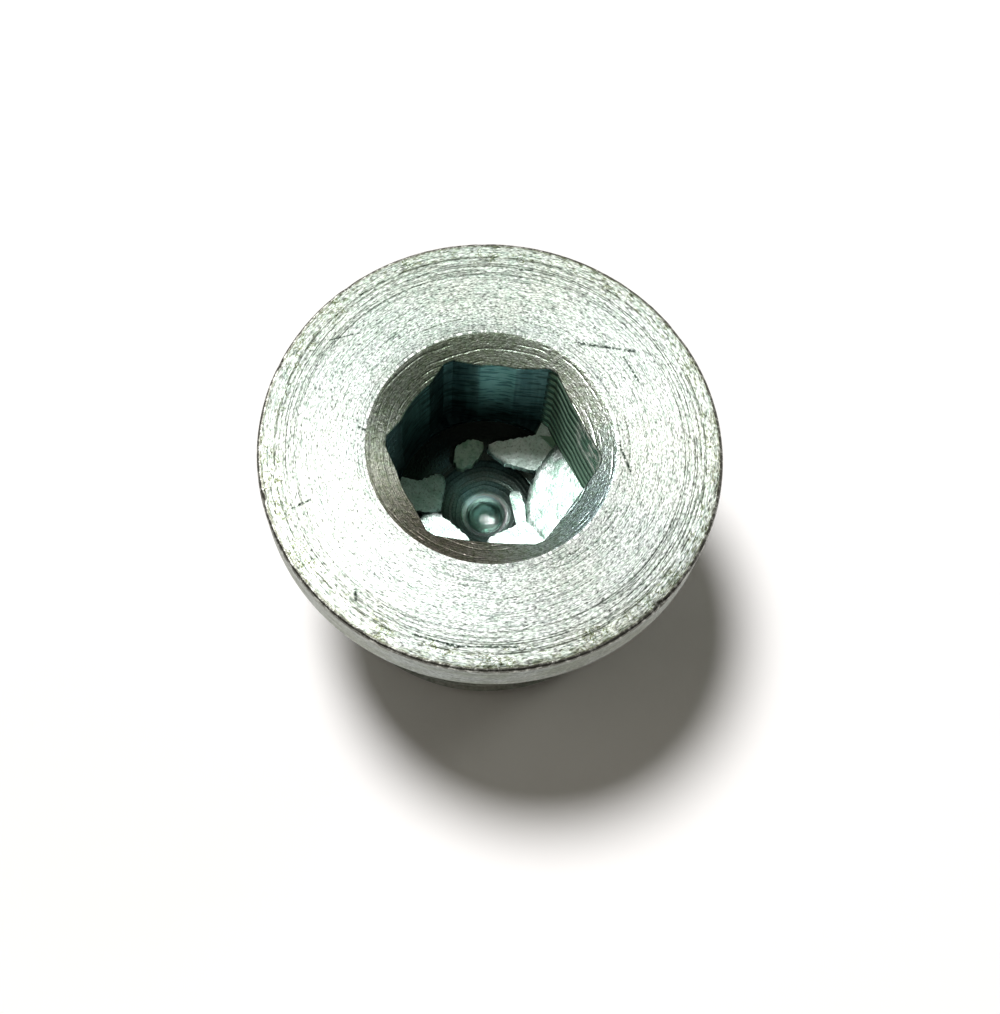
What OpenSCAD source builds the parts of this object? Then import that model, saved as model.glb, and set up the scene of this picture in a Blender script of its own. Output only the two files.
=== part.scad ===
// Screw plug with a flat round collar, a plain shank for a fine thread and a broached hexagon socket.
// The axis is Z, the end face of the shank stands on z = 0 and the socket opens upwards.

/* [Shank] */
// Outside diameter of the thread
thread_d = 24; // [23:0.5:25]
// Height of the collar's seat above the end face
shank_len = 13; // [12.5:0.5:20]
// Leg of the chamfer that starts the thread
end_chamfer = 1.2; // [0.8:0.1:1.5]
// Diameter of the run-out groove under the collar
groove_d = 21.8; // [21.4:0.1:22.4]
// Width of the floor of the run-out groove
groove_w = 1.8; // [1.2:0.1:2.6]

/* [Collar] */
// Outside diameter of the collar
collar_d = 29; // [28:0.5:32]
// Thickness of the collar
collar_t = 3.2; // [3:0.1:4]
// Broken edge around the top of the collar
top_break = 0.2; // [0.1:0.05:0.4]
// Broken edge around the seat of the collar
seat_break = 0.3; // [0.1:0.05:0.5]
// Depth of the undercut inside the seat, which keeps the sealing ring off the groove's corner
undercut = 0.25; // [0.15:0.05:0.35]

/* [Socket] */
// Width of the hexagon across its flats
across_flats = 12; // [11.9:0.05:12.1]
// Diameter that the broach's corners are ground to, so the hexagon's corners are blunt
across_corners = 13.5; // [13.3:0.05:13.7]
// Depth of the hexagon below the top face
hex_depth = 9.2; // [9:0.1:9.4]
// Sideways offset of the broached hexagon from the axis, towards a corner
hex_shift_x = 0.14; // [0:0.01:0.16]
// Sideways offset of the broached hexagon from the axis, across the flats
hex_shift_y = -0.07; // [-0.1:0.01:0]
// Diameter of the drilled hole that the hexagon is broached from
drill_d = 12.06; // [12.02:0.01:12.1]
// Depth of the drill's point below the hexagon's floor
drill_past = 4.05; // [3.9:0.05:4.2]
// Full angle of the drill's point
drill_point = 118; // [116:1:120]
// Diameter of the countersink at the top face
sink_d = 15.7; // [15.4:0.1:16.2]
// Full angle of the countersink
sink_angle = 120; // [110:5:125]
// Diameter of the ring that the drill's web leaves at the bottom
web_d = 2.5; // [2.2:0.1:2.8]
// Depth of the step inside that ring
web_step = 0.25; // [0.15:0.05:0.3]

/* [Chips] */
// Thickness of the chips that the broach folds in from the hexagon's corners
chip_t = 0.6; // [0.5:0.05:0.7]

/* [Output] */
// Which solid to draw

/* [Hidden] */
$fn = 96;

thread_r = thread_d / 2;
collar_r = collar_d / 2;
groove_r = groove_d / 2;
drill_r = drill_d / 2;
sink_r = sink_d / 2;
web_r = web_d / 2;
flat_r = across_flats / 2;

// The seat starts just outside the thread
seat_gap = 0.25;
seat_inner_r = thread_r + seat_gap;

// The hole is drilled before the broach comes, so its point lies below the hexagon's floor
drill_depth = hex_depth + drill_past;

// Heights of the main faces above the end face
top_z = shank_len + collar_t;
groove_z = shank_len - groove_w;
hex_floor_z = top_z - hex_depth;
point_z = top_z - drill_depth;

// The hexagon has a corner on each side of the X axis
hex_sides = 6;
sharp_corner_d = across_flats / cos(180 / hex_sides);

// Slope of the drilled cone, and the height where it reaches the drill's full radius
cone_slope = 90 - drill_point / 2;
cone_top_z = point_z + drill_r * tan(cone_slope);

// Depth of the countersink's cone if it ran on to the axis
sink_full = sink_r / tan(sink_angle / 2);

// The web's ring is cut into the cone by web_step, and its own floor falls to the drill's point
web_rim_z = point_z + web_r * tan(cone_slope);
web_floor_z = web_rim_z - web_step;

// Height that cutting tools run on past the top face
overrun = 1;

// Torn edge of each chip as [x, y] in shares of the hexagon's half width, one chip for each corner of the
// hexagon, starting at the corner on +X
chip_edge = [
    [[0.7, -0.48], [0.48, -0.21], [0.45, 0.05], [0.48, 0.2], [0.53, 0.42], [0.75, 0.77]],
    [[0.78, 0.65], [0.53, 0.44], [0.18, 0.5], [-0.02, 0.6], [-0.05, 0.71], [0.21, 0.78], [0.5, 0.85]],
    [[-0.1, 0.78], [-0.08, 0.67], [-0.18, 0.53], [-0.36, 0.42], [-0.42, 0.47], [-0.42, 0.67], [-0.25, 0.77]],
    [[-0.78, 0.2], [-0.57, 0.37], [-0.49, 0.33], [-0.49, 0.15], [-0.54, -0.12], [-0.68, -0.18]],
    [[-0.72, -0.27], [-0.55, -0.2], [-0.37, -0.32], [-0.13, -0.5], [-0.23, -0.99]],
    [[0.25, -1], [0.03, -0.49], [0.17, -0.38], [0.38, -0.26], [0.34, 0], [0.24, 0.13],
     [0.32, 0.2], [0.38, 0.19], [0.43, 0.05], [0.47, -0.2], [0.7, -0.45]]
];
// Directions in which each chip's root runs into the wall. The third chip has torn off its root and
// lies pressed on the cone.
root_r = 1.3 * flat_r;
chip_root = [[35, -28], [62, 48], [], [188, 172], [-108, -150], [-42, -72]];

// How each chip lies: its height over the hexagon's floor at the wall, in shares of the hexagon's half
// width, its slope and the slope's heading
lie_r = 1.08 * flat_r;
chip_rise = [0.16, 0.08, 0.03, 0.03, 0.01, 0.08];
chip_slope = [22, 19, 26.5, 26.5, 3.5, 11];
chip_heading = [0, 90, 120, 180, 240, 300];
// The chips on the left are pressed down on the cone, so they are solid down to it
pressed_t = 2.5 * chip_t;
chip_depth = [chip_t, chip_t, pressed_t, pressed_t, chip_t, chip_t];
chip_block = 3 * flat_r;

function on_plan(radius, angle) = [radius * cos(angle), radius * sin(angle)];

// Turned blank: shank, run-out groove and collar in one profile
module blank() {
    rotate_extrude()
        polygon([
            [0, 0],
            [thread_r - end_chamfer, 0],
            [thread_r, end_chamfer],
            [thread_r, groove_z - (thread_r - groove_r)],
            [groove_r, groove_z],
            [groove_r, shank_len + undercut],
            [seat_inner_r - undercut, shank_len + undercut],
            [seat_inner_r, shank_len],
            [collar_r - seat_break, shank_len],
            [collar_r, shank_len + seat_break],
            [collar_r, top_z - top_break],
            [collar_r - top_break, top_z],
            [0, top_z]
        ]);
}

// Drilled hole with the drill's cone and the step left by its web
module drilled_hole() {
    rotate_extrude()
        polygon([
            [0, point_z],
            [web_r, web_floor_z],
            [web_r, web_rim_z],
            [drill_r, cone_top_z],
            [drill_r, top_z + overrun],
            [0, top_z + overrun]
        ]);
}

module countersink() {
    translate([0, 0, top_z - sink_full])
        cylinder(h = sink_full, r1 = 0, r2 = sink_r);
}

// Hexagon with blunt corners, as wide as the broach's own corners
module broached_hexagon() {
    translate([hex_shift_x, hex_shift_y, hex_floor_z])
        intersection() {
            cylinder(h = hex_depth + overrun, d = sharp_corner_d, $fn = hex_sides);
            cylinder(h = hex_depth + overrun, d = across_corners);
        }
}

// One chip: its torn outline cut from a sloping sheet
module folded_chip(i) {
    intersection() {
        translate([0, 0, point_z])
            linear_extrude(height = drill_depth / 2)
                polygon(concat(flat_r * chip_edge[i], [for (a = chip_root[i]) on_plan(root_r, a)]));
        rotate([0, 0, chip_heading[i]])
            translate([lie_r, 0, hex_floor_z + flat_r * chip_rise[i]])
                rotate([0, -chip_slope[i], 0])
                    translate([-chip_block, -chip_block, -chip_depth[i]])
                        cube([2 * chip_block, 2 * chip_block, chip_depth[i]]);
    }
}

module plug() {
    color("lightsteelblue")
        union() {
            difference() {
                blank();
                drilled_hole();
                countersink();
                broached_hexagon();
            }
            for (i = [0:hex_sides - 1]) folded_chip(i);
        }
}

plug();
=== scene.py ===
# %% [markdown]
# # A zinc-plated screw plug with a hexagon socket
# The plug is one piece of steel. It is turned, drilled, countersunk and broached, its shank is threaded,
# and the whole of it is zinc plated. This lesson dresses the CAD solid with one detailed mesh that keeps
# the same form, adds the true thread and the torn chips in the socket, and lights it on a white table. The
# CAD solid itself could be given a material, but it has no thread and no points to carry torn edges, so a
# new mesh replaces it and the solid stays behind for collisions.

# %% Load the frame
import math
import bmesh
import bpy
import numpy as np
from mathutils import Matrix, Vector


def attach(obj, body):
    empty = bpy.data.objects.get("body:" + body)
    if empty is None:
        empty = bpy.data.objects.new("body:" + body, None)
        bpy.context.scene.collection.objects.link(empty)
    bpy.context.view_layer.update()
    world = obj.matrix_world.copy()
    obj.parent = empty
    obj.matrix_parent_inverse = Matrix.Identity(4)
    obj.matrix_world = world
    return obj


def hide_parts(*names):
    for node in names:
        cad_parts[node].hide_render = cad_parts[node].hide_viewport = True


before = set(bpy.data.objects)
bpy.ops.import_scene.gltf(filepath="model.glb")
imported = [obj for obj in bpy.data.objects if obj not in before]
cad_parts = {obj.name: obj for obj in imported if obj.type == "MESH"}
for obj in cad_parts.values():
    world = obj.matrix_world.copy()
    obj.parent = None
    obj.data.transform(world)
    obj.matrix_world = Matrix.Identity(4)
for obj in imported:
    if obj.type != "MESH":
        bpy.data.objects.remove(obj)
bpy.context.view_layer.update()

# %% [markdown]
# ## Sizes
# A turned part is described by a few diameters and lengths. They could be measured off the CAD mesh, but
# plain names read better and are easier to change. All sizes are in millimetres, as on a drawing, and are
# turned into metres only when a mesh is made. They are the sizes of the CAD solid, so the new mesh keeps
# its form.

# %% Sizes
MM = 0.001
THREAD_R, SHANK, END_CHAMFER = 12.0, 13.0, 1.2
GROOVE_R, GROOVE_W, UNDERCUT, SEAT_INNER_R = 10.9, 1.8, 0.25, 12.25
COLLAR_R, TOP, TOP_BREAK, SEAT_BREAK = 14.5, 16.2, 0.2, 0.3
FLAT_R, CORNER_R, HEX_FLOOR = 6.0, 6.75, 7.0
HEX_X, HEX_Y = 0.14, -0.07
DRILL_R, POINT, CONE = 6.03, 2.95, math.tan(math.radians(31))
SINK_R, SINK = 7.85, math.tan(math.radians(30))
PITCH = 1.5
THREAD_DEPTH = 0.6134 * PITCH
SINK_EDGE = 0.015
rng = np.random.default_rng(24)
print("plug", 2 * COLLAR_R, "mm across and", TOP, "mm high, thread", 2 * THREAD_R, "x", PITCH)

# %% [markdown]
# ## Columns of points
# The whole plug is round apart from its hexagon. A screw modifier on a profile would make the round part,
# and a boolean would cut the hexagon, but a boolean leaves long thin faces that shade badly. Instead, rings
# of points are stacked. Every ring uses the same angles, called columns here, and some of them are moved a
# little, on to the corners of the hexagon, so that its edges come out sharp.

# %% Columns
COLUMNS = 480
angles = np.linspace(0, 2 * math.pi, COLUMNS + 1)
blunt_angle = math.radians(30) - math.acos(FLAT_R / CORNER_R)
for k in range(6):
    for side in (-1, 1):
        a = math.radians(60 * k) + side * blunt_angle
        x, y = HEX_X + CORNER_R * math.cos(a), HEX_Y + CORNER_R * math.sin(a)
        angle = math.atan2(y, x) % (2 * math.pi)
        angles[1 + np.abs(angles[1:-1] - angle).argmin()] = angle
cosines, sines = np.cos(angles), np.sin(angles)
around = np.stack([cosines, sines], axis=1)


def hexagon_radius():
    """Distance from the axis to the wall, for every column: the blunt hexagon or the drilled hole."""
    shift = np.array([HEX_X, HEX_Y])
    flat = np.full(len(angles), 99.0)
    for k in range(6):
        normal = np.array([math.cos(math.radians(30 + 60 * k)), math.sin(math.radians(30 + 60 * k))])
        facing = around @ normal
        reach = np.where(facing > 0.2, (FLAT_R + normal @ shift) / np.maximum(facing, 0.2), 99.0)
        flat = np.minimum(flat, reach)
    along = around @ shift
    corner = along + np.sqrt(along ** 2 - shift @ shift + CORNER_R ** 2)
    return np.maximum(np.minimum(flat, corner), DRILL_R)


socket_r = hexagon_radius()
print("socket radius from", round(socket_r.min(), 3), "to", round(socket_r.max(), 3), "mm")


# %% [markdown]
# ## A skin made of strips
# A strip is the band of faces between rings of points. Neighbouring strips share their border points, so
# they merge into one closed skin, and each strip names the finish that it gets. One skin is chosen, rather
# than one mesh for each surface, because closed seams can't show gaps from any side.

# %% Strips
class Skin:
    """Collects strips of quads between rings of points, each strip with the index of its material."""

    def __init__(self):
        self.points, self.faces, self.slots = [], [], []

    def strip(self, rings, slot):
        """rings is a list of (radius, height), each a number or one value for every column."""
        first = len(self.points)
        for r, z in rings:
            r, z = np.broadcast_to(r, angles.shape), np.broadcast_to(z, angles.shape)
            self.points += [(r[j] * cosines[j], r[j] * sines[j], z[j]) for j in range(len(angles))]
        wide = len(angles)
        for i in range(len(rings) - 1):
            for j in range(wide - 1):
                a = first + i * wide + j
                self.faces.append((a, a + 1, a + wide + 1, a + wide))
                self.slots.append(slot)

    def mesh(self, name, materials):
        data = bpy.data.meshes.new(name)
        data.from_pydata([tuple(MM * v for v in p) for p in self.points], [], self.faces)
        data.polygons.foreach_set("material_index", self.slots)
        for m in materials:
            data.materials.append(m)
        bm = bmesh.new()
        bm.from_mesh(data)
        bmesh.ops.remove_doubles(bm, verts=bm.verts, dist=1.5e-6)
        bmesh.ops.dissolve_degenerate(bm, edges=bm.edges, dist=1e-6)
        bmesh.ops.recalc_face_normals(bm, faces=bm.faces)
        open_edges = sum(1 for e in bm.edges if len(e.link_faces) != 2)
        bm.to_mesh(data)
        bm.free()
        data.polygons.foreach_set("use_smooth", [True] * len(data.polygons))
        data.set_sharp_from_angle(angle=math.radians(24))
        obj = bpy.data.objects.new(name, data)
        bpy.context.collection.objects.link(obj)
        print(name, "has", len(data.polygons), "faces and", open_edges, "open edges")
        return obj


FACE, EDGE, RIM, SINK_SLOT, WALL, CONE_SLOT, SHANK_SLOT = range(7)
skin = Skin()
print("the skin starts with", len(skin.faces), "faces and has room for", SHANK_SLOT + 1, "finishes")


# %% Uneven edges
def smooth_noise(count, strength, waves):
    """A closed, irregular wave round the part: random amplitudes on whole numbers of waves."""
    wave = np.zeros(len(angles))
    for n in range(1, count):
        wave += rng.normal() / (1 + n / waves) * np.cos(n * angles + rng.uniform(0, 2 * math.pi))
    return strength * wave / np.abs(wave).max()


def tell_skin(part):
    """Print how far the skin has grown."""
    print("after the", part, "the skin has", len(skin.faces), "faces")


# %% [markdown]
# ## Shank and thread
# The shank carries a fine thread that a die or a chaser cuts. A screw modifier could sweep the thread, but
# its ends would stay open and its chamfer square. Here each ring of the strip climbs by one pitch on its
# way round and is cut off at the end face and at the groove, so the first and last turns run out as they do
# on the real part. Where the chamfer or the groove is deeper than the thread, the smaller radius wins.

# %% Shank
skin.strip([(0.0, 0.0), (2.0, 0.0), (5.0, 0.0), (8.0, 0.0), (THREAD_R - END_CHAMFER, 0.0)], SHANK_SLOT)
groove_low = SHANK - GROOVE_W
flank_low = groove_low - (THREAD_R - GROOVE_R)
# places along one pitch, and how deep the thread is there, from 0 at the crest to 1 at the root
thread_profile = [(-1 / 16, 0), (0, 0), (1 / 16, 0), (7 / 32, 0.5),
                  (6 / 16, 0.96), (0.5, 1.0), (10 / 16, 0.96), (25 / 32, 0.5)]
rings = []
for turn in range(-2, 9):
    for along, share in thread_profile:
        z = np.clip(PITCH * (turn + along + angles / (2 * math.pi)), 0, groove_low)
        plain = np.minimum(np.minimum(THREAD_R - END_CHAMFER + z, THREAD_R), THREAD_R - (z - flank_low))
        rings.append((np.minimum(plain, THREAD_R - share * THREAD_DEPTH), z))
skin.strip(rings, SHANK_SLOT)
skin.strip([
    (GROOVE_R, groove_low), (GROOVE_R, groove_low + 0.6), (GROOVE_R, SHANK + UNDERCUT - 0.15),
    (GROOVE_R + 0.15, SHANK + UNDERCUT), (SEAT_INNER_R - UNDERCUT, SHANK + UNDERCUT), (SEAT_INNER_R, SHANK),
    (13.0, SHANK), (13.7, SHANK), (COLLAR_R - SEAT_BREAK, SHANK), (COLLAR_R - 0.1, SHANK + 0.12),
    (COLLAR_R, SHANK + SEAT_BREAK)], SHANK_SLOT)
tell_skin("shank")

# %% [markdown]
# ## Collar
# The side of the collar is turned, and its upper edge is broken by hand, so that edge is a little uneven
# and has small nicks from handling. A bevel modifier would make a perfect edge that catches light evenly,
# like plastic. So the rings of the edge are moved in and down by a seeded noise, and a few dips stand for
# the nicks.

# %% Collar
# each nick's place round the edge in degrees, its depth in mm and its half width in degrees
edge_nicks = [(-40.5, 0.16, 1.3), (163, 0.09, 1.0), (-118, 0.07, 1.6), (38, 0.05, 2.0), (97, 0.06, 1.2),
              (-74, 0.06, 1.1), (-160, 0.08, 1.2), (-15, 0.06, 0.9), (135, 0.06, 1.5)]
nicks = np.zeros(len(angles))
for where, deep, wide in edge_nicks:
    off = (np.degrees(angles) - where + 180) % 360 - 180
    nicks += deep * np.exp(-(off / wide) ** 2)
EDGE_WANDER = 0.07
uneven = 0.5 * (1 + smooth_noise(150, 1.0, 60)) * EDGE_WANDER + nicks
rough_low = smooth_noise(90, 0.02, 40)
edge_low = TOP - TOP_BREAK - 0.06 - 0.5 * nicks + rough_low
rim_rings = [(COLLAR_R - 0.004 * (i % 2), z) for i, z in enumerate(np.linspace(SHANK + 0.6, TOP - 0.6, 6))]
skin.strip([(COLLAR_R, SHANK + SEAT_BREAK)] + rim_rings + [(COLLAR_R, edge_low)], RIM)
skin.strip([
    (COLLAR_R, edge_low),
    (COLLAR_R - 0.04 - 0.4 * uneven, TOP - 0.5 * TOP_BREAK - 0.3 * nicks),
    (COLLAR_R - 0.12 - 0.8 * uneven, TOP - 0.02 - 0.1 * nicks),
    (COLLAR_R - TOP_BREAK - uneven, TOP)], EDGE)
face_r = np.linspace(COLLAR_R - 0.55, SINK_R + 0.06, 22)
face_rings = [(r, TOP) for r in face_r]
skin.strip([(COLLAR_R - TOP_BREAK - uneven, TOP)] + face_rings + [(SINK_R, TOP - SINK_EDGE)], FACE)
tell_skin("collar")

# %% [markdown]
# ## Countersink and socket
# The hole is drilled first, then countersunk, and then a six-sided broach is pushed in. The countersink is
# a cone, and the hexagon cuts it in six shallow curves. Where the drilled hole is wider than the hexagon's
# flats, a strip of the round hole is left in the flat. Cutting one form out of another is what a boolean
# does, but the height where the cone meets the wall can be worked out for each column, which keeps the
# faces even.

# %% Socket
MOUTH_BREAK = 0.05
mouth_z = TOP - (SINK_R - socket_r) * SINK - 0.06
sink_rings = []
for t in np.linspace(0, 1, 9):
    r = (1 - t) * SINK_R + t * (socket_r + MOUTH_BREAK)
    sink_rings.append((r, TOP - SINK_EDGE - (SINK_R - r) * SINK))
skin.strip(sink_rings, SINK_SLOT)
mouth_out = socket_r + MOUTH_BREAK
skin.strip([(mouth_out, TOP - SINK_EDGE - (SINK_R - mouth_out) * SINK), (socket_r, mouth_z)], SINK_SLOT)
skin.strip([(socket_r, (1 - t) * mouth_z + t * HEX_FLOOR) for t in np.linspace(0, 1, 12)], WALL)
cone_top = POINT + DRILL_R * CONE
skin.strip([(socket_r, HEX_FLOOR), (np.minimum(socket_r, DRILL_R), HEX_FLOOR), (DRILL_R, cone_top)], WALL)
print("the wall meets the countersink from", round(mouth_z.min(), 2), "to", round(mouth_z.max(), 2), "mm up")

# %% [markdown]
# ## Bottom of the drilled hole
# The drill leaves a cone, two faint steps where it was pulled back, and a small dished ring where its web
# has rubbed instead of cutting. The rings could be bump alone, but they catch the light from every side, so
# they are real steps in the profile.

# %% Bottom of the hole
STEP_HEIGHTS = {3.6: 0.05, 2.38: 0.04, 1.46: 0.05, 1.34: 0.04}
web_dish = [(1.22, 3.52), (1.05, 3.32), (0.8, 3.16), (0.5, 3.04), (0.22, 2.98), (0.12, 2.95), (0.08, 2.88),
            (0.0, 2.86)]
cone_rings = [(DRILL_R, cone_top)]
for r in (5.4, 4.8, 4.2, 3.75, 3.6, 3.45, 3.0, 2.5, 2.38, 2.26, 1.9, 1.6, 1.46, 1.34):
    cone_rings.append((r, POINT + CONE * r + STEP_HEIGHTS.get(r, 0.0)))
skin.strip(cone_rings + web_dish, CONE_SLOT)
tell_skin("socket")

# %% [markdown]
# ## A short way to write shader nodes
# A finish is a small calculation on the place of a point on the part. Placing its nodes by hand is quick
# for one material but slow for ten that share their parts, so a helper writes them into a node tree. Its
# inputs can be numbers or the outputs of other nodes.

# %% Node helper
class Graph:
    """Writes nodes into one node tree."""

    def __init__(self, tree):
        self.tree = tree

    def node(self, kind, **settings):
        n = self.tree.nodes.new(kind)
        for key, value in settings.items():
            setattr(n, key, value)
        return n

    def feed(self, socket, value):
        if isinstance(value, bpy.types.NodeSocket):
            self.tree.links.new(value, socket)
        elif value is not None:
            socket.default_value = value

    def math(self, operation, a, b=None, clamp=False):
        n = self.node("ShaderNodeMath", operation=operation, use_clamp=clamp)
        for socket, value in zip(n.inputs, (a, b)):
            self.feed(socket, value)
        return n.outputs[0]

    def times(self, first, *others):
        """All the values multiplied together."""
        for other in others:
            first = self.math("MULTIPLY", first, other)
        return first

    def ramp(self, value, low, high, to_low=0.0, to_high=1.0):
        """value between low and high becomes to_low to to_high, smoothly."""
        n = self.node("ShaderNodeMapRange", interpolation_type="SMOOTHSTEP")
        names = ("Value", "From Min", "From Max", "To Min", "To Max")
        for name, v in zip(names, (value, low, high, to_low, to_high)):
            self.feed(n.inputs[name], v)
        return n.outputs["Result"]

    def bump_at(self, value, centre, half):
        """1 where value is at centre, 0 where it is half or more away."""
        return self.ramp(self.math("ABSOLUTE", self.math("SUBTRACT", value, centre)), 0.0, half, 1.0, 0.0)

    def mix(self, factor, a, b, blend="MIX"):
        n = self.node("ShaderNodeMix", data_type="RGBA", blend_type=blend)
        for name, value in (("Factor", factor), ("A", a), ("B", b)):
            self.feed(next(i for i in n.inputs if i.enabled and i.name == name), value)
        return next(o for o in n.outputs if o.enabled)

    def noise(self, vector, scale=1.0, detail=2.0, rough=0.5):
        n = self.node("ShaderNodeTexNoise")
        self.feed(n.inputs["Vector"], self.scale(vector, scale))
        n.inputs["Scale"].default_value = 1.0
        n.inputs["Detail"].default_value = detail
        n.inputs["Roughness"].default_value = rough
        return n.outputs["Fac"]

    def patches(self, vector, scale, detail, low, high, rough=0.5):
        """A noise cut into patches: 0 where it is below low, 1 where it is above high."""
        return self.ramp(self.noise(vector, scale, detail, rough), low, high)

    def vector_math(self, operation, a, b=None):
        n = self.node("ShaderNodeVectorMath", operation=operation)
        self.feed(n.inputs[0], a)
        self.feed(n.inputs[1], b)
        return n.outputs["Value"] if operation in ("DOT_PRODUCT", "LENGTH") else n.outputs[0]

    def add(self, a, b):
        return self.vector_math("ADD", a, b)

    def scale(self, vector, factor):
        n = self.node("ShaderNodeVectorMath", operation="SCALE")
        self.feed(n.inputs[0], vector)
        self.feed(n.inputs["Scale"], factor)
        return n.outputs[0]

    def vector(self, x, y, z):
        n = self.node("ShaderNodeCombineXYZ")
        for socket, value in zip(n.inputs, (x, y, z)):
            self.feed(socket, value)
        return n.outputs[0]

    def use(self, group, **inputs):
        n = self.node("ShaderNodeGroup", node_tree=group)
        for name, value in inputs.items():
            self.feed(n.inputs[name.replace("_", " ")], value)
        return n.outputs


# %% Group helper
def new_group(name, inputs, outputs):
    """An empty node group. inputs are (name, kind, default), outputs are (name, kind)."""
    tree = bpy.data.node_groups.new(name, "ShaderNodeTree")
    for label, kind, default in inputs:
        socket = tree.interface.new_socket(label, in_out="INPUT", socket_type="NodeSocket" + kind)
        if default is not None:
            socket.default_value = default
    for label, kind in outputs:
        tree.interface.new_socket(label, in_out="OUTPUT", socket_type="NodeSocket" + kind)
    g = Graph(tree)
    start, end = g.node("NodeGroupInput"), g.node("NodeGroupOutput")
    return tree, g, start.outputs, end.inputs


def tell(thing):
    """Print how many nodes a group or a finish is made of."""
    tree = getattr(thing, "node_tree", thing)
    print(thing.name, "has", len(tree.nodes), "nodes")


# %% [markdown]
# ## Where a point is on a turned part
# Tool marks run round the axis, so the finishes need a point's distance from the axis and the direction to
# it, not its x and y. An angle would be the plain way to give the direction, but it jumps from 360 back to
# 0 and leaves a seam. So the direction is kept as a vector of length one, which has no seam.

# %% Part coordinates
part_place, g, _, out = new_group("part place", [], [
    ("Radius", "Float"), ("Around", "Vector"), ("Height", "Float"), ("Place", "Vector")])
coords = g.node("ShaderNodeTexCoord")
place = g.scale(coords.outputs["Object"], 1 / MM)
split = g.node("ShaderNodeSeparateXYZ")
g.feed(split.inputs[0], place)
flat_place = g.vector(split.outputs[0], split.outputs[1], 0.0)
g.feed(out["Radius"], g.vector_math("LENGTH", flat_place))
g.feed(out["Around"], g.vector_math("NORMALIZE", flat_place))
g.feed(out["Height"], split.outputs[2])
g.feed(out["Place"], place)
tell(part_place)

# %% [markdown]
# ## Grain of the plating
# Bright zinc on a turned face looks granular close up: small dark pits between bright grains, stretched a
# little along the tool's path. Real bumps of that size would need millions of faces, so it is a noise,
# whose cells are Size wide across the path and Stretch times longer along it. Shade multiplies a colour,
# Pits marks only the deepest cells, and Relief is for a bump.

# %% Grain
grain, g, at, out = new_group(
    "plating grain",
    [("Radius", "Float", 0.0), ("Around", "Vector", None), ("Height", "Float", 0.0), ("Size", "Float", 0.15),
     ("Stretch", "Float", 1.5), ("Contrast", "Float", 1.0), ("Level", "Float", 0.4)],
    [("Shade", "Float"), ("Pits", "Float"), ("Relief", "Float")])
MEAN_RADIUS = 11.0
DARKEST_SHADE = 0.12
across = g.math("DIVIDE", 1.0, at["Size"])
along = g.math("DIVIDE", g.times(across, MEAN_RADIUS), at["Stretch"])
outward = g.times(g.math("ADD", at["Radius"], at["Height"]), across)
cells = g.noise(g.add(g.scale(at["Around"], along), g.vector(0.0, 0.0, outward)), 1.0, 1.5, 0.55)
shade = g.math("ADD", 1.0, g.times(g.math("SUBTRACT", cells, 0.5), at["Contrast"]))
pit_low, pit_high = g.math("SUBTRACT", at["Level"], 0.05), g.math("ADD", at["Level"], 0.05)
g.feed(out["Shade"], g.math("MAXIMUM", shade, DARKEST_SHADE))
g.feed(out["Pits"], g.ramp(cells, pit_low, pit_high, 1.0, 0.0))
g.feed(out["Relief"], cells)
tell(grain)

# %% [markdown]
# ## Tool rings
# The facing tool leaves thin rings at uneven distances, and each ring fades out somewhere on its way round.
# A wave texture would give rings, but all alike. Here the distance from the axis is cut into steps, each
# step draws its own numbers for the place, width and depth of its ring, and a slow noise round the part
# decides where that ring shows.

# %% Tool rings
rings_group, g, at, out = new_group(
    "tool rings",
    [("Radius", "Float", 0.0), ("Around", "Vector", None), ("Spacing", "Float", 0.4),
     ("Width", "Float", 0.04), ("Wobble", "Float", 0.1), ("Seed", "Float", 0.0), ("Arcs", "Float", 2.0),
     ("Cover", "Float", 0.5)],
    [("Lines", "Float"), ("Hollow", "Float")])
drift = g.noise(g.add(g.scale(at["Around"], 1.3), g.vector(at["Seed"], 0.0, 0.0)))
moved = g.math("ADD", at["Radius"], g.times(g.math("SUBTRACT", drift, 0.5), at["Wobble"]))
steps = g.math("ADD", g.math("DIVIDE", moved, at["Spacing"]), at["Seed"])
number = g.math("FLOOR", steps)
draw = g.node("ShaderNodeTexWhiteNoise", noise_dimensions="1D")
g.feed(draw.inputs["W"], number)
drawn = g.node("ShaderNodeSeparateColor")
g.feed(drawn.inputs[0], draw.outputs["Color"])
centre = g.math("ADD", 0.25, g.times(drawn.outputs[0], 0.5))
away = g.times(g.math("ABSOLUTE", g.math("SUBTRACT", g.math("FRACT", steps), centre)), at["Spacing"])
half = g.times(at["Width"], g.math("ADD", 0.5, drawn.outputs[1]))
strength = g.math("ADD", 0.45, g.times(drawn.outputs[2], 0.55))

# %% Where a ring shows
along_ring = g.add(g.scale(at["Around"], at["Arcs"]), g.vector(0.0, 0.0, g.times(number, 3.7)))
level = g.math("SUBTRACT", 0.68, g.times(at["Cover"], 0.36))
ring_noise = g.noise(along_ring, 1.0, 3.0, 0.6)
shown = g.ramp(ring_noise, g.math("SUBTRACT", level, 0.05), g.math("ADD", level, 0.03))
g.feed(out["Lines"], g.times(g.ramp(away, g.times(half, 0.3), half, 1.0, 0.0), shown, strength))
g.feed(out["Hollow"], g.times(g.ramp(away, 0.0, g.times(half, 2.0), 1.0, 0.0), shown))
tell(rings_group)

# %% [markdown]
# ## Single scratches
# A few marks are from handling. They could be painted on an image, but an image needs a layout of the
# surface and blurs close up. Each mark is a straight stroke between two places on the top face, given in
# millimetres, and its mask is 1 on the stroke and falls to 0 at its width.

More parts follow.
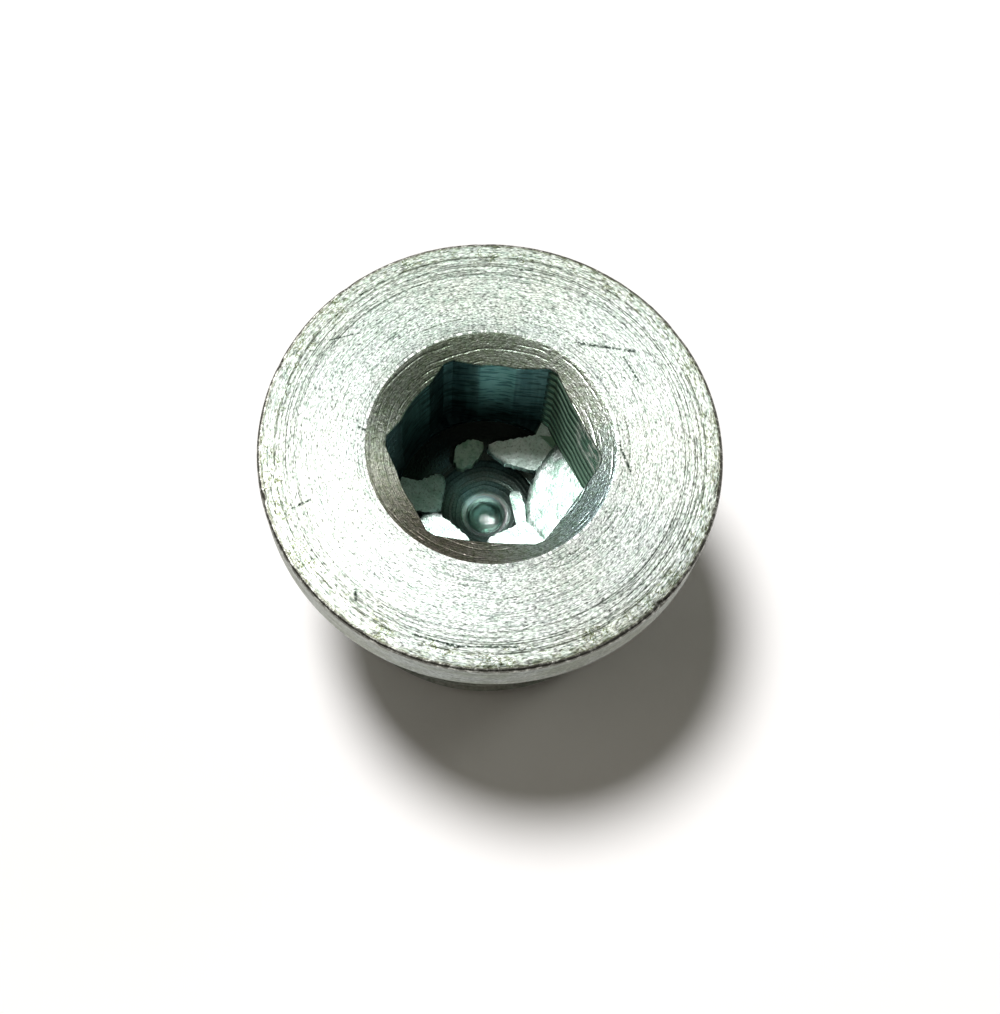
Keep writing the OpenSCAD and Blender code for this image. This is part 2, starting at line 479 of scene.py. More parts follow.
# %% Scratch
scratch, g, at, out = new_group(
    "scratch",
    [("Place", "Vector", None), ("Start", "Vector", None), ("End", "Vector", None), ("Width", "Float", 0.08)],
    [("Mask", "Float")])
stroke = g.vector_math("SUBTRACT", at["End"], at["Start"])
offset = g.vector_math("SUBTRACT", at["Place"], at["Start"])
travelled, whole = g.vector_math("DOT_PRODUCT", offset, stroke), g.vector_math("DOT_PRODUCT", stroke, stroke)
share = g.math("DIVIDE", travelled, whole, clamp=True)
gap = g.vector_math("LENGTH", g.vector_math("SUBTRACT", offset, g.scale(stroke, share)))
ragged = g.patches(at["Place"], 6.0, 2.0, 0.35, 0.5)
g.feed(out["Mask"], g.times(g.ramp(gap, 0.0, at["Width"], 1.0, 0.0), ragged))
tell(scratch)

# %% [markdown]
# ## Colour of the plating
# Bright zinc is nearly white with a slight green cast, a bluish one where it is thin and a yellowish one
# where it has aged. One flat colour would look like paint, so the colour drifts slowly over the part, and a
# finer noise adds the green that sits in the grain.

# %% Plating colour
plating, g, at, out = new_group(
    "plating colour",
    [("Place", "Vector", None), ("Green", "Float", 0.5), ("Bright", "Float", 1.0)],
    [("Color", "Color")])
thin_zinc, aged_zinc, green_zinc = (0.94, 1.0, 0.96, 1), (0.96, 1.0, 0.92, 1), (0.88, 1.0, 0.89, 1)
cast = g.mix(g.patches(at["Place"], 0.16, 2.0, 0.35, 0.65), thin_zinc, aged_zinc)
cast = g.mix(g.times(g.patches(at["Place"], 2.2, 2.0, 0.4, 0.7), at["Green"]), cast, green_zinc)
g.feed(out["Color"], g.scale(cast, at["Bright"]))
tell(plating)

# %% [markdown]
# ## What every finish shares
# Every finish is a metal with its own roughness, so one function makes the material and hands back what the
# cells below write with. A turned surface reflects in streaks across the tool marks. Anisotropic shading
# gives those streaks without modelling the marks, and a tangent that runs round the axis points them the
# right way.

# %% Finish maker
def finish(name, brushed=0.0):
    """A metal with an empty colour; brushed is how strongly its reflections streak round the axis."""
    material = bpy.data.materials.new(name)
    material.use_nodes = True
    g = Graph(material.node_tree)
    shader = material.node_tree.nodes["Principled BSDF"]
    shader.inputs["Metallic"].default_value = 1.0
    if brushed:
        shader.inputs["Anisotropic"].default_value = brushed
        shader.inputs["Anisotropic Rotation"].default_value = 0.25
        tangent = g.node("ShaderNodeTangent", direction_type="RADIAL", axis="Z")
        g.feed(shader.inputs["Tangent"], tangent.outputs[0])
    return material, g, shader, g.use(part_place)


def darken(g, color, mask, tint):
    """color where mask is 0, multiplied by tint where it is 1."""
    return g.mix(mask, color, (*tint, 1), "MULTIPLY")


def lean(g, around, angle):
    """1 on the side of the part that faces the angle, falling to 0 at a quarter turn from it."""
    way = (math.cos(math.radians(angle)), math.sin(math.radians(angle)), 0.0)
    toward = g.math("MAXIMUM", g.vector_math("DOT_PRODUCT", around, way), 0.0)
    return g.times(toward, toward)


def add_bump(g, shader, height, depth_mm):
    bump = g.node("ShaderNodeBump")
    bump.inputs["Strength"].default_value = 1.0
    bump.inputs["Distance"].default_value = depth_mm * MM
    g.feed(bump.inputs["Height"], height)
    g.feed(shader.inputs["Normal"], bump.outputs[0])


print("finishes share", len(bpy.data.node_groups), "node groups")

# %% [markdown]
# ## Faced top of the collar
# The top is faced with a pointed tool, plated, and then knocked about in a box with others. Its rings could
# be modelled as grooves, but they are thinner than a hair, so colour and bump carry them. Three sets of
# rings lie over the grain: wide ones everywhere, thin ones between them, and close ones in the outer third
# where the tool chattered.

# %% Face grain and rings
faced, g, shader, p = finish("faced_plating", 0.5)
spot = {"Radius": p["Radius"], "Around": p["Around"]}
fine = g.use(grain, **spot, Size=0.075, Stretch=3.0, Contrast=3.5)
coarse = g.use(grain, **spot, Size=0.18, Stretch=4.5, Contrast=0.45, Level=0.34)
outer = g.use(grain, **spot, Size=0.15, Stretch=2.4, Contrast=1.0, Level=0.40)
wide = g.use(rings_group, **spot, Spacing=0.34, Width=0.04, Wobble=0.12, Seed=2.0, Arcs=2.6, Cover=0.45)
thin = g.use(rings_group, **spot, Spacing=0.19, Width=0.035, Wobble=0.2, Seed=9.0, Arcs=5.0, Cover=0.40)
close = g.use(rings_group, **spot, Spacing=0.21, Width=0.036, Wobble=0.1, Seed=5.0, Arcs=1.6, Cover=0.60)

# %% [markdown]
# ## Bands and sides of the face
# The face isn't the same all over. The close rings keep to one band, and the outermost band is hammered by
# handling. Two sides of the face are painted lighter as a painted highlight, and on the brightest side the
# dark rings and pits are faded as painted highlight too. Painting weights on the points would do, but ramps
# on the distance from the axis, and on the side that a point faces, stay sharp and need no painting.

# %% Face bands
in_close = g.times(g.ramp(p["Radius"], 11.4, 12.4), g.ramp(p["Radius"], 13.55, 13.4))
in_outer = g.ramp(p["Radius"], 13.25, 13.5)
dash_place = g.add(g.scale(p["Around"], 60.0), g.scale(p["Place"], 2.0))
dashes = g.patches(dash_place, 1.0, 2.0, 0.36, 0.5, 0.6)
border = g.times(g.bump_at(p["Radius"], 13.42, 0.09), g.patches(p["Around"], 9.0, 3.0, 0.42, 0.52))
# painted highlight: the face is made lighter on the sides at 235 and 35 degrees
painted_highlight_sides = g.math("ADD", g.times(lean(g, p["Around"], 235), 0.28), g.times(lean(g, p["Around"], 35), 0.10))
# painted highlight: dark rings and pits fade on the side at 212 degrees
highlight_fade = g.math("SUBTRACT", 1.0, g.times(lean(g, p["Around"], 212), 0.75))
lapped = g.times(g.ramp(p["Radius"], 8.0, 9.2, 0.86, 1.04), g.ramp(p["Radius"], 13.7, 14.1, 1.0, 0.93))

# %% Face colour
FACE_BRIGHT = 0.525
level = g.times(fine["Shade"], coarse["Shade"], g.math("ADD", painted_highlight_sides, FACE_BRIGHT), lapped)
color = g.use(plating, Place=p["Place"], Green=0.8, Bright=level)["Color"]
color = darken(g, color, coarse["Pits"], (0.72, 0.77, 0.74))
color = darken(g, color, g.times(wide["Lines"], dashes, highlight_fade), (0.20, 0.24, 0.18))
color = darken(g, color, thin["Lines"], (0.46, 0.52, 0.53))
color = darken(g, color, g.times(close["Lines"], in_close, highlight_fade), (0.25, 0.28, 0.21))
color = darken(g, color, g.times(outer["Pits"], in_outer, highlight_fade), (0.48, 0.50, 0.40))
color = darken(g, color, border, (0.2, 0.22, 0.18))

# %% [markdown]
# ## Dents, lip and burr
# Dents in the outer band show as thin outlines, where their rims catch the light. The level lines of a
# noise have just that shape. The outer lip is darker where the plating has rubbed off, and along the
# countersink the tool has left a bright burr.

# %% Face dents and edges
dents = g.noise(p["Place"], 0.95, 3.5, 0.55)
in_band = g.times(g.ramp(p["Radius"], 12.7, 13.2), g.patches(p["Place"], 0.4, 1.0, 0.42, 0.56))
color = darken(g, color, g.times(g.bump_at(dents, 0.5, 0.020), in_band), (0.30, 0.32, 0.17))
color = darken(g, color, g.times(g.bump_at(dents, 0.585, 0.017), in_band), (0.36, 0.37, 0.22))
lip = g.times(g.ramp(p["Radius"], 14.13, 14.27), g.patches(p["Place"], 2.1, 2.0, 0.36, 0.5))
color = darken(g, color, lip, (0.42, 0.42, 0.33))
burr = g.times(g.ramp(p["Radius"], 8.04, 7.96), g.patches(p["Around"], 26.0, 3.0, 0.50, 0.58))
color = g.mix(burr, color, (0.97, 0.97, 0.95, 1))
color = darken(g, color, lean(g, p["Around"], 110), (0.965, 1.0, 0.975))
# darker patches just inside the outer edge, most of them on the side at 305 degrees
outer_dark_patches = g.times(g.ramp(p["Radius"], 13.75, 14.0), g.patches(p["Place"], 1.7, 3.0, 0.44, 0.54))
outer_dark_patches = g.times(outer_dark_patches, g.math("ADD", 0.10, g.times(lean(g, p["Around"], 305), 0.42)))
color = darken(g, color, outer_dark_patches, (0.34, 0.34, 0.26))

# %% [markdown]
# ## Marks on the face
# The scratch group is placed once for each mark. Every mark has a start, an end and a width in millimetres,
# so one can be moved or taken out without touching the others.

# %% Face marks
marks_on_face = [
    ((4.8, 7.62), (6.75, 7.50), 0.20), ((6.7, 7.5), (7.65, 7.45), 0.15), ((7.97, 7.42), (8.55, 7.40), 0.20),
    ((7.93, 6.92), (8.97, 5.24), 0.14), ((7.36, 0.4), (7.86, 1.0), 0.20), ((7.86, 1.0), (8.7, -0.97), 0.15),
    ((-8.3, 0.35), (-7.8, 0.15), 0.18), ((-10.84, 6.20), (-9.01, 6.90), 0.09),
    ((-11.69, -5.40), (-10.67, -4.78), 0.15), ((-7.28, -10.21), (-7.15, -10.82), 0.18),
    ((-1.5, -13.0), (-0.9, -13.1), 0.22), ((-3.6, -12.6), (-1.5, -13.0), 0.12),
    ((-0.9, -13.1), (2.6, -12.8), 0.12)]
for start, end, width in marks_on_face:
    start, end = g.vector(*start, TOP), g.vector(*end, TOP)
    mark = g.use(scratch, Place=p["Place"], Start=start, End=end, Width=width)["Mask"]
    color = darken(g, color, mark, (0.06, 0.09, 0.07))

# %% Face relief
g.feed(shader.inputs["Base Color"], color)
g.feed(shader.inputs["Roughness"], g.math("ADD", 0.58, g.times(fine["Relief"], 0.08)))
relief = g.math("ADD", g.times(fine["Relief"], 0.5), g.times(coarse["Relief"], 0.5))
relief = g.math("SUBTRACT", relief, g.times(wide["Hollow"], 0.4))
relief = g.math("SUBTRACT", relief, g.times(close["Hollow"], in_close, 0.8))
add_bump(g, shader, relief, 0.03)
tell(faced)

# %% [markdown]
# ## Broken edge
# The edge is broken by hand, so bare dark steel alternates with bright spots where the plating still holds.
# Wear that follows the shape could come from the mesh's own curvature, but that needs a baked map. The edge
# has its own strip of faces, so it simply gets its own finish.

# %% Broken edge
edge, g, shader, p = finish("broken_edge")
spots = g.noise(p["Place"], 2.6, 3.0, 0.6)
color = g.mix(g.ramp(spots, 0.46, 0.66), (0.13, 0.13, 0.11, 1), (0.52, 0.53, 0.48, 1))
g.feed(shader.inputs["Base Color"], color)
shader.inputs["Roughness"].default_value = 0.42
add_bump(g, shader, spots, 0.05)
tell(edge)

# %% [markdown]
# ## Turned rim
# The rim of the collar is turned along its height, so its feed lines are level rings, stacked up the side.
# The tool rings group does this too when it is given the height instead of the distance from the axis. A
# thin film of old oil makes it brownish in places.

# %% Rim
rim, g, shader, p = finish("turned_rim", 0.3)
fine = g.use(grain, Radius=p["Radius"], Around=p["Around"], Height=p["Height"], Size=0.07, Stretch=2.6,
             Contrast=2.4)
feed_lines = g.use(rings_group, Radius=p["Height"], Around=p["Around"], Spacing=0.17, Width=0.035, Wobble=0.1,
                   Seed=6.0, Arcs=3.0, Cover=0.6)
color = g.use(plating, Place=p["Place"], Green=0.3, Bright=g.times(fine["Shade"], 0.43))["Color"]
film_place = g.add(g.scale(p["Around"], 5.0), g.vector(0.0, 0.0, p["Height"]))
color = darken(g, color, g.patches(film_place, 1.0, 3.0, 0.42, 0.58, 0.6), (0.82, 0.83, 0.76))
color = darken(g, color, feed_lines["Lines"], (0.62, 0.66, 0.62))
g.feed(shader.inputs["Base Color"], color)
shader.inputs["Roughness"].default_value = 0.45
add_bump(g, shader, g.math("SUBTRACT", fine["Relief"], g.times(feed_lines["Hollow"], 0.6)), 0.02)
tell(rim)

# %% [markdown]
# ## Countersink
# The countersink is cut last and fast, so its lines are uneven and broken, and a few arcs stand out where
# the cutter shook. It is smoother than the face and shows more of the room. Three soft tints lie over the
# lines as painted reflections of the room: a darker brown on the near side, green on the far side and bluish
# on the near right.

# %% Countersink
sunk, g, shader, p = finish("countersunk_plating")
spot = {"Radius": p["Radius"], "Around": p["Around"]}
fine = g.use(grain, **spot, Size=0.09, Stretch=2.8, Contrast=1.9)
lines = g.use(rings_group, **spot, Spacing=0.13, Width=0.03, Wobble=0.7, Seed=4.0, Arcs=3.5, Cover=0.70)
arcs = g.use(rings_group, **spot, Spacing=0.34, Width=0.04, Wobble=0.7, Seed=11.0, Arcs=1.6, Cover=0.40)
scuffs = g.noise(p["Place"], 3.0, 4.0, 0.65)
color = g.use(plating, Place=p["Place"], Green=1.0, Bright=g.times(fine["Shade"], 0.80))["Color"]
color = darken(g, color, lines["Lines"], (0.30, 0.32, 0.25))
color = darken(g, color, g.ramp(scuffs, 0.52, 0.42), (0.72, 0.76, 0.67))
# painted reflections of the room: one darker tint on each of three sides
for side, tint in ((262, (0.74, 0.60, 0.54)), (115, (0.90, 1.0, 0.90)), (318, (0.58, 0.72, 0.80))):
    color = darken(g, color, lean(g, p["Around"], side), tint)
g.feed(shader.inputs["Base Color"], color)
shader.inputs["Roughness"].default_value = 0.38
relief = g.math("ADD", fine["Relief"], g.times(scuffs, 1.5))
add_bump(g, shader, g.math("SUBTRACT", relief, g.times(arcs["Hollow"], 0.7)), 0.024)
tell(sunk)

# %% [markdown]
# ## Broached wall
# A broach scrapes the wall downward, which leaves long streaks and short tears across them. The wall's dark
# teal is partly its colour and partly painted shade, and it is darkened further on the left and towards the
# floor of the socket as painted shade. The strips of the drilled hole are smoother and lighter. All of this
# is one material, because masks on the radius and the height can tell the strips and the depth apart.

# %% Broached wall colour
wall, g, shader, p = finish("broached_wall")
streaks = g.noise(g.add(g.scale(p["Around"], 18.0), g.vector(0.0, 0.0, g.times(p["Height"], 0.25))))
tears = g.noise(g.add(g.scale(p["Around"], 5.0), g.vector(0.0, 0.0, g.times(p["Height"], 4.0))))
drilled = g.ramp(p["Radius"], DRILL_R + 0.03, DRILL_R + 0.005)
color = g.mix(g.ramp(streaks, 0.35, 0.65), (0.12, 0.23, 0.25, 1), (0.20, 0.34, 0.36, 1))
color = g.mix(drilled, color, (0.24, 0.44, 0.45, 1))
# painted shade on the left walls, which face away from the lamp
color = darken(g, color, lean(g, p["Around"], 180), (0.45, 0.5, 0.52))
color = darken(g, color, g.ramp(tears, 0.50, 0.42), (0.35, 0.42, 0.42))
# painted shade: the wall darkens towards the floor of the socket
color = g.scale(color, g.ramp(p["Height"], HEX_FLOOR, 12.5, 0.5, 1.0))

# %% [markdown]
# ## Chatter on one flat
# On one flat the broach shook and left ridges one above the other, and at the flat's corner it tore the
# mouth into patches. That flat is painted lighter than the rest of the wall, as painted light from the lamp
# that reaches it, and the torn patches carry a painted highlight. A sine of the height gives the ridges, a
# noise makes them waver, and the same sine feeds the bump and a painted shade in the grooves, so the light
# and dark lines match the slopes.

# %% Chatter
RIDGE_PITCH = 0.9
chatter = g.ramp(lean(g, p["Around"], 29), 0.70, 0.76)
waver = g.times(g.noise(p["Around"], 3.0), 1.2)
wave = g.math("SINE", g.times(g.math("ADD", p["Height"], waver), 2 * math.pi / RIDGE_PITCH))
blotch = g.noise(g.add(g.scale(p["Around"], 8.0), g.vector(0.0, 0.0, p["Height"])), 1.0, 3.0, 0.6)
torn_lit_mouth = g.times(g.ramp(g.math("ADD", p["Height"], g.times(blotch, 2.4)), 12.8, 14.2),
                     g.ramp(lean(g, p["Around"], 4), 0.76, 0.92))
# painted highlight on the torn patches near the mouth
torn_highlight_color = g.mix(g.ramp(blotch, 0.42, 0.56), (0.30, 0.50, 0.38, 1), (0.95, 1.0, 0.92, 1))
# painted light: the ridged flat is lighter than the rest of the wall
ridged_lit_flat = g.mix(torn_lit_mouth, (0.52, 0.74, 0.58, 1), torn_highlight_color)
# painted shade in the grooves between the ridges
groove_shade = g.times(g.ramp(wave, 0.4, -0.5), g.math("SUBTRACT", 1.0, g.times(torn_lit_mouth, 0.8)))
ridged_lit_flat = darken(g, ridged_lit_flat, groove_shade, (0.22, 0.30, 0.27))
g.feed(shader.inputs["Base Color"], g.mix(chatter, color, ridged_lit_flat))
g.feed(shader.inputs["Roughness"], g.math("ADD", 0.34, g.times(chatter, 0.32)))
relief = g.math("ADD", g.times(streaks, 0.3), g.times(tears, 0.4))
add_bump(g, shader, g.math("ADD", relief, g.times(wave, chatter, 1.4)), 0.10)
tell(wall)

# %% [markdown]
# ## Drilled cone
# The drill's lips leave rings on the cone, and its web polishes the middle. The cone lies in shade, and its
# light is painted into its tones by the distance from the axis: a painted highlight in the dished middle,
# painted shade in the groove round it and deeper painted shade further out. One brushed metal with those
# tones is enough, since the steps themselves are in the mesh.

# %% Drilled cone
cone, g, shader, p = finish("drilled_cone", 0.4)
spot = {"Radius": p["Radius"], "Around": p["Around"]}
fine = g.use(grain, **spot, Size=0.10, Stretch=4.0, Contrast=1.6)
turned = g.use(rings_group, **spot, Spacing=0.28, Width=0.07, Wobble=0.35, Seed=3.0, Arcs=1.5, Cover=0.9)
painted_outer_shade = g.times(g.ramp(p["Radius"], 1.7, 3.6, 0.30, 0.08), g.ramp(p["Radius"], 4.2, 5.2, 1.0, 0.3))
# painted light: bright in the dished middle, painted shade falling outward
tone = g.math("ADD", g.ramp(p["Radius"], 1.56, 1.70, 0.92, 0.0), painted_outer_shade)
ringed = g.times(g.ramp(p["Radius"], 1.5, 1.9), g.ramp(p["Radius"], 4.4, 3.4))
far_side = g.math("SUBTRACT", 1.0, lean(g, p["Around"], 318))
color = g.use(plating, Place=p["Place"], Green=1.0, Bright=g.times(fine["Shade"], tone))["Color"]
color = darken(g, color, g.ramp(p["Radius"], 1.5, 1.7, 0.6, 1.0), (0.78, 1.0, 0.98))
color = darken(g, color, g.times(turned["Lines"], ringed), (0.4, 0.45, 0.43))
# painted shade in the groove round the dished middle
color = darken(g, color, g.bump_at(p["Radius"], 1.16, 0.12), (0.12, 0.17, 0.17))
# painted shade over the dished middle, except on its side at 318 degrees
shaded = g.times(far_side, g.ramp(g.bump_at(p["Radius"], 0.78, 0.6), 0.0, 0.5))
color = darken(g, color, shaded, (0.22, 0.30, 0.28))
g.feed(shader.inputs["Base Color"], color)
g.feed(shader.inputs["Roughness"], g.math("ADD", 0.20, g.times(ringed, 0.12)))
add_bump(g, shader, g.math("SUBTRACT", fine["Relief"], g.times(turned["Hollow"], ringed, 0.5)), 0.02)
tell(cone)

# %% [markdown]
# ## Threaded plating
# The shank, the groove and the seat are plated like the rest and a little worn. The thread is in the mesh,
# so the finish needs only fine grain and soft patches of wear in the colour and the roughness.

# %% Threaded plating
threaded, g, shader, p = finish("threaded_plating")
fine = g.use(grain, Radius=p["Radius"], Around=p["Around"], Height=p["Height"], Size=0.08, Stretch=3.0,
             Contrast=1.0)
rubbed = g.noise(p["Place"], 0.9, 3.0)
color = g.use(plating, Place=p["Place"], Green=0.3, Bright=g.times(fine["Shade"], 0.56))["Color"]
color = darken(g, color, g.ramp(rubbed, 0.35, 0.65), (0.84, 0.86, 0.83))
g.feed(shader.inputs["Base Color"], color)
g.feed(shader.inputs["Roughness"], g.ramp(rubbed, 0.3, 0.7, 0.34, 0.46))
add_bump(g, shader, fine["Relief"], 0.02)
tell(threaded)

# %% [markdown]
# ## Finish of the chips
# The broach smears the chips flat, so they are smoother than cut metal and mottled where the zinc has not
# taken. The six chips share one recipe, and only the tone and the strength of the smears change, so a
# function makes all three finishes. Two of them are copies for chips that lie in shade: one is darker, as
# painted shade, and one has fainter smears, as painted light that lifts them.

# %% Torn chips
def torn(name, tone, smeared=0.6):
    """A chip's finish; tone is its colour, and smeared is how dark the broach's smears on it are."""
    material, g, shader, p = finish(name)
    smear = g.noise(p["Place"], 1.4, 3.0, 0.6)
    streak = g.noise(p["Place"], 7.0, 2.0, 0.6)
    smear_tint = (1 - 0.8 * smeared, 1 - 0.57 * smeared, 1 - 0.7 * smeared)
    color = darken(g, (*tone, 1), g.ramp(smear, 0.40, 0.62), smear_tint)
    color = g.mix(g.ramp(streak, 0.30, 0.5, 0.45, 0.0), color, (0.16, 0.22, 0.19, 1))
    g.feed(shader.inputs["Base Color"], color)
    shader.inputs["Roughness"].default_value = 0.45
    add_bump(g, shader, g.math("ADD", smear, g.times(streak, 0.4)), 0.05)
    tell(material)
    return material


bright_chip = torn("bright_chip", (0.86, 0.98, 0.94))
# painted light: fainter smears lift the chips that lie in shade
shade_lifted_chip = torn("shade_lifted_chip", (0.86, 1.0, 0.95), 0.25)
# painted shade: a darker copy for the chip in the upper left's shade
painted_shade_chip = torn("painted_shade_chip", (0.48, 0.62, 0.50))

# %% [markdown]
# ## The body
# The strips become one mesh here. Points that lie on each other are merged, the normals are made to face
# outward, and edges sharper than 24 degrees stay sharp while the rest shades smoothly.

# %% Body
body = skin.mesh("plug_body", [faced, edge, rim, sunk, wall, cone, threaded])

# %% [markdown]
# ## Chips in the socket
# The broach shaves six chips out of the corners and folds them over the drilled cone, where they stay.
# Sculpting them would give no sizes to change. Each chip is an outline seen from above, with a torn edge,
# laid on a sloping or curved surface and given a thickness.

# %% Chip maker
def torn_outline(outline, rough):
    """The outline cut into short steps, its corners rounded a little, and every point moved at random."""
    corners = np.array(outline, float)
    ring = []
    for a, b in zip(corners, np.roll(corners, -1, axis=0)):
        steps = max(2, int(np.hypot(*(b - a)) / 0.18))
        for t in np.arange(steps) / steps:
            ring.append((1 - t) * a + t * b)
    ring = np.array(ring)
    for _ in range(2):
        ring = 0.25 * np.roll(ring, 1, axis=0) + 0.5 * ring + 0.25 * np.roll(ring, -1, axis=0)
    return ring + rng.normal(0, rough, ring.shape)


def chip(name, outline, surface, material, thick=0.5, rough=0.035):
    """outline is a list of (x, y) in mm, counted round the chip; surface gives the height at (x, y)."""
    ring = torn_outline(outline, rough)
    middle = ring.mean(axis=0)
    levels = [1.0, 0.975, 0.85, 0.65, 0.4, 0.2]
    points, count = [], len(ring)
    for level in levels:
        for x, y in middle + level * (ring - middle):
            points.append((x, y, surface(x, y) - (0.05 if level == 1.0 else 0.0)))
    points.append((*middle, surface(*middle)))
    for x, y in ring:
        points.append((x, y, surface(x, y) - thick))
    faces = []
    for i in range(len(levels) - 1):
        for j in range(count):
            k = (j + 1) % count
            faces.append((i * count + j, i * count + k, (i + 1) * count + k, (i + 1) * count + j))
    last, centre = (len(levels) - 1) * count, len(levels) * count
    under = centre + 1
    for j in range(count):
        k = (j + 1) % count
        faces.append((last + j, last + k, centre))
        faces.append((k, j, under + j, under + k))
    faces.append(tuple(under + j for j in range(count)))
    return chip_object(name, points, faces, material)


def chip_object(name, points, faces, material):
    data = bpy.data.meshes.new(name)
    data.from_pydata([tuple(MM * v for v in p) for p in points], [], faces)
    bm = bmesh.new()
    bm.from_mesh(data)
    bmesh.ops.recalc_face_normals(bm, faces=bm.faces)
    bmesh.ops.triangulate(bm, faces=[f for f in bm.faces if len(f.verts) > 4])
    bm.to_mesh(data)
    bm.free()
    data.polygons.foreach_set("use_smooth", [True] * len(data.polygons))
    data.set_sharp_from_angle(angle=math.radians(40))
    data.materials.append(material)
    obj = bpy.data.objects.new(name, data)
    bpy.context.collection.objects.link(obj)
    print(name, "has", len(data.polygons), "faces")
    return obj


def leaf(height, slope, heading, reach=6.5):
    """A plane that has that height at the wall on the heading and falls towards the axis by slope."""
    cx, cy = math.cos(math.radians(heading)), math.sin(math.radians(heading))
    return lambda x, y: height - slope * (reach - (x * cx + y * cy))


def pressed_leaf(x, y):
    """The chip that lies pressed on the cone bends up towards the wall."""
    past = y - 3.0
    return 6.32 + 0.20 * past + 0.06 * max(0.0, past) ** 2


# %% [markdown]
# ## The six chips
# Each chip is broken off differently, so each has its own outline, slope and finish. The two on the left
# are thicker than the others, and they lie in the shade of the wall.

# %% Chips
# The upper right and left chips, which lie in shade, get the copy lifted by painted light, and the upper left
# one the copy darkened by painted shade.
chips = [
    chip("chip_right", [
        (4.2, -2.9), (2.88, -1.26), (2.7, 0.3), (2.88, 1.2), (3.18, 2.52), (4.5, 4.62), (6.5, 4.4),
        (7.0, 0.0), (6.6, -3.4)], leaf(7.96, 0.404, 0), bright_chip),
    chip("chip_upper_right", [
        (4.68, 3.9), (3.18, 2.64), (1.08, 3.0), (-0.12, 3.6), (-0.3, 4.26), (1.26, 4.68), (3.0, 5.1),
        (3.5, 6.3), (5.2, 5.6)], pressed_leaf, shade_lifted_chip),
    chip("chip_upper_left", [
        (-0.6, 4.68), (-0.48, 4.02), (-1.08, 3.18), (-2.16, 2.52), (-2.52, 2.82), (-2.52, 4.02),
        (-1.5, 4.62)], leaf(7.18, 0.5, 120), painted_shade_chip, 1.0),
    chip("chip_left", [
        (-4.68, 1.2), (-3.42, 2.22), (-2.94, 1.98), (-2.94, 0.9), (-3.24, -0.72), (-4.08, -1.08),
        (-6.7, -1.0), (-6.7, 1.0)], leaf(7.18, 0.5, 180), shade_lifted_chip, 1.0),
    chip("chip_lower_left", [
        (-4.32, -1.62), (-3.3, -1.2), (-2.22, -1.92), (-0.78, -3.0), (-1.38, -5.94), (-2.2, -6.5),
        (-5.3, -3.5)], leaf(7.06, 0.061, -120), bright_chip),
    chip("chip_lower_right", [
        (1.5, -6.0), (0.18, -2.94), (1.02, -2.28), (2.28, -1.56), (2.04, 0.0), (1.44, 0.78), (1.92, 1.2),
        (2.28, 1.14), (2.58, 0.3), (2.82, -1.2), (4.2, -2.7), (5.2, -4.4), (2.4, -6.4)],
        leaf(7.48, 0.194, -60), bright_chip),
]
for piece in [body] + chips:
    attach(piece, "root")
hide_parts("plug")
print(len(chips) + 1, "pieces ride on the root")

# %% [markdown]
# ## Table
# The plug stands on a sheet of white paper. A curved backdrop would hide the horizon, but a flat sheet that
# reaches far past the view does the same here and gives a plain shadow. White paper is a little warm.

# %% Table
TABLE_HALF = 3.0
floor_mesh = bpy.data.meshes.new("table_top")
floor_mesh.from_pydata([(-TABLE_HALF, -TABLE_HALF, 0), (TABLE_HALF, -TABLE_HALF, 0),
                        (TABLE_HALF, TABLE_HALF, 0), (-TABLE_HALF, TABLE_HALF, 0)], [], [(0, 1, 2, 3)])
floor = bpy.data.objects.new("table_top", floor_mesh)
bpy.context.collection.objects.link(floor)
paper = bpy.data.materials.new("white paper")
paper.use_nodes = True
paper_shader = paper.node_tree.nodes["Principled BSDF"]
paper_shader.inputs["Base Color"].default_value = (1.0, 0.98, 0.975, 1)
paper_shader.inputs["Roughness"].default_value = 0.9
floor_mesh.materials.append(paper)
print("the table is", 2 * TABLE_HALF, "m across")

# %% [markdown]
# ## Light
# A small bright lamp high on the far left gives the shadow and most of the light. Weaker and larger ones
# stand for two windows, the ceiling and a warm wall, which metal needs, because it looks black where it has
# nothing to reflect. A sky image would do it all at once, but separate lamps can be moved and weighed one
# by one.

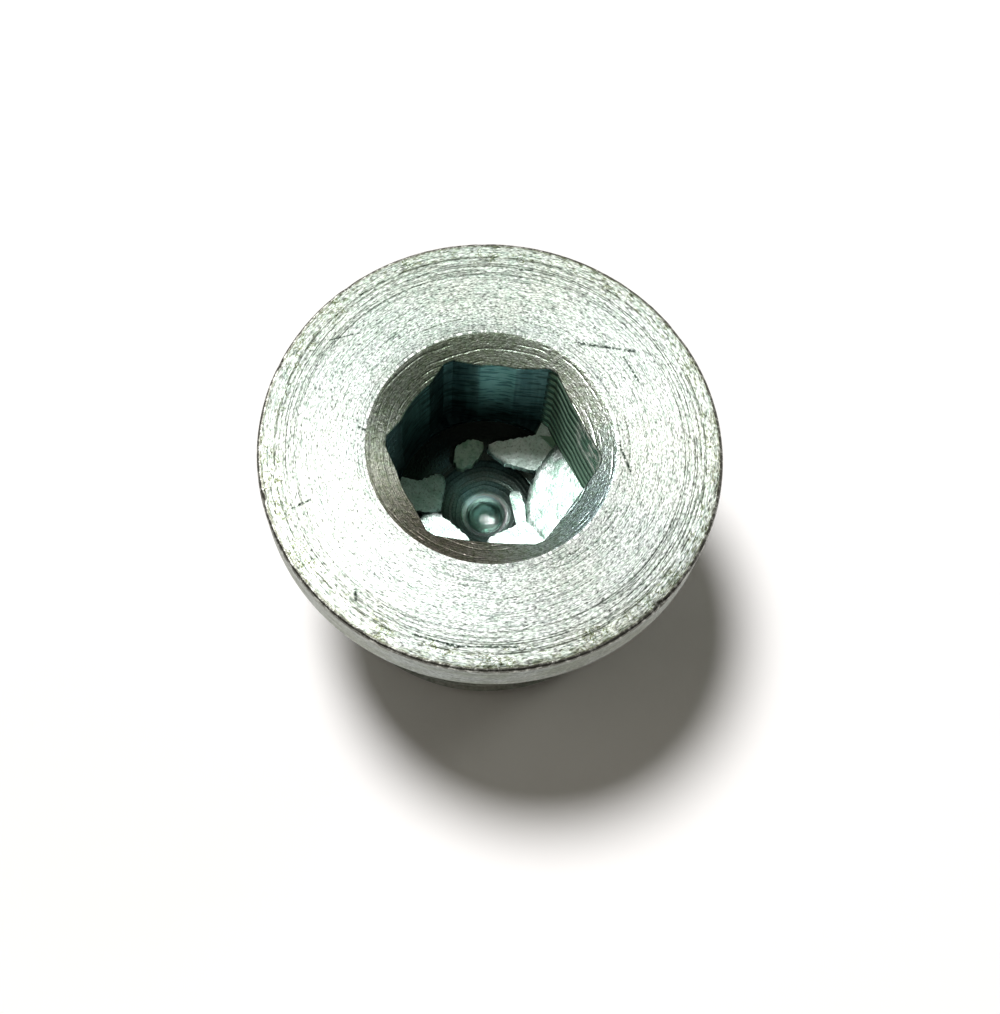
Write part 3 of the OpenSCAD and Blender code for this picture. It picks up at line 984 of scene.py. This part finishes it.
# %% Lamps
def soft_lamp(name, azimuth, elevation, distance, half_angle, radiance, color=(1, 1, 1)):
    """A round lamp aimed at the part, given by its place and how large and bright it looks from the part."""
    azimuth, elevation = math.radians(azimuth), math.radians(elevation)
    level = math.cos(elevation)
    way = Vector((math.cos(azimuth) * level, math.sin(azimuth) * level, math.sin(elevation)))
    data = bpy.data.lights.new(name, "AREA")
    data.shape = "DISK"
    data.size = 2 * distance * math.tan(math.radians(half_angle))
    data.energy = radiance * math.pi * math.pi * (data.size / 2) ** 2
    data.color = color
    lamp = bpy.data.objects.new(name, data)
    lamp.location = way * distance
    lamp.rotation_euler = way.to_track_quat("Z", "Y").to_euler()
    bpy.context.collection.objects.link(lamp)
    share = radiance * math.sin(math.radians(half_angle)) ** 2 * math.sin(elevation)
    print(name, "lights the table by", round(share, 3))


soft_lamp("main_lamp", 127.3, 63.5, 2.0, 8.25, 51.0)
soft_lamp("left_window", 190, 43, 1.5, 16, 0.58, (1.0, 0.93, 0.80))
soft_lamp("right_window", 40, 25, 1.5, 10, 3.1, (0.99, 1.0, 0.90))
soft_lamp("ceiling", 300, 84, 1.5, 34, 0.14, (1.0, 0.92, 0.76))
soft_lamp("front_wall", 258, 32, 1.5, 16, 0.12, (1.0, 0.90, 0.78))

# %% [markdown]
# ## Room
# The room itself is dim, and that keeps the socket dark. Only the camera sees the world behind the table as
# white, so that the light on the part doesn't change with it.

# %% Room
world = bpy.data.worlds.new("room")
bpy.context.scene.world = world
world.use_nodes = True
room = Graph(world.node_tree)
camera_ray = room.node("ShaderNodeLightPath").outputs["Is Camera Ray"]
dim_room, white = (0.012, 0.011, 0.009, 1), (1, 1, 1, 1)
room.feed(world.node_tree.nodes["Background"].inputs["Color"], room.mix(camera_ray, dim_room, white))
tell(world)

# %% [markdown]
# ## Camera
# The camera looks down steeply from close by, which is why the far side of the collar looks smaller. A
# longer lens from further away would flatten the socket, so the place and the lens go together.

# %% Camera
camera_data = bpy.data.cameras.new("camera")
camera_data.lens = 48.99
camera_data.sensor_width = 36
camera_data.clip_start = 0.002
camera = bpy.data.objects.new("camera", camera_data)
camera.location = (0, -0.034718, 0.094619)
camera.rotation_euler = (0.369954, -0.042498, 0.080970)
bpy.context.collection.objects.link(camera)
bpy.context.scene.camera = camera
bpy.context.scene.view_settings.view_transform = "Standard"
print("the camera is", round(camera.location.length / MM), "mm from the plug's foot")
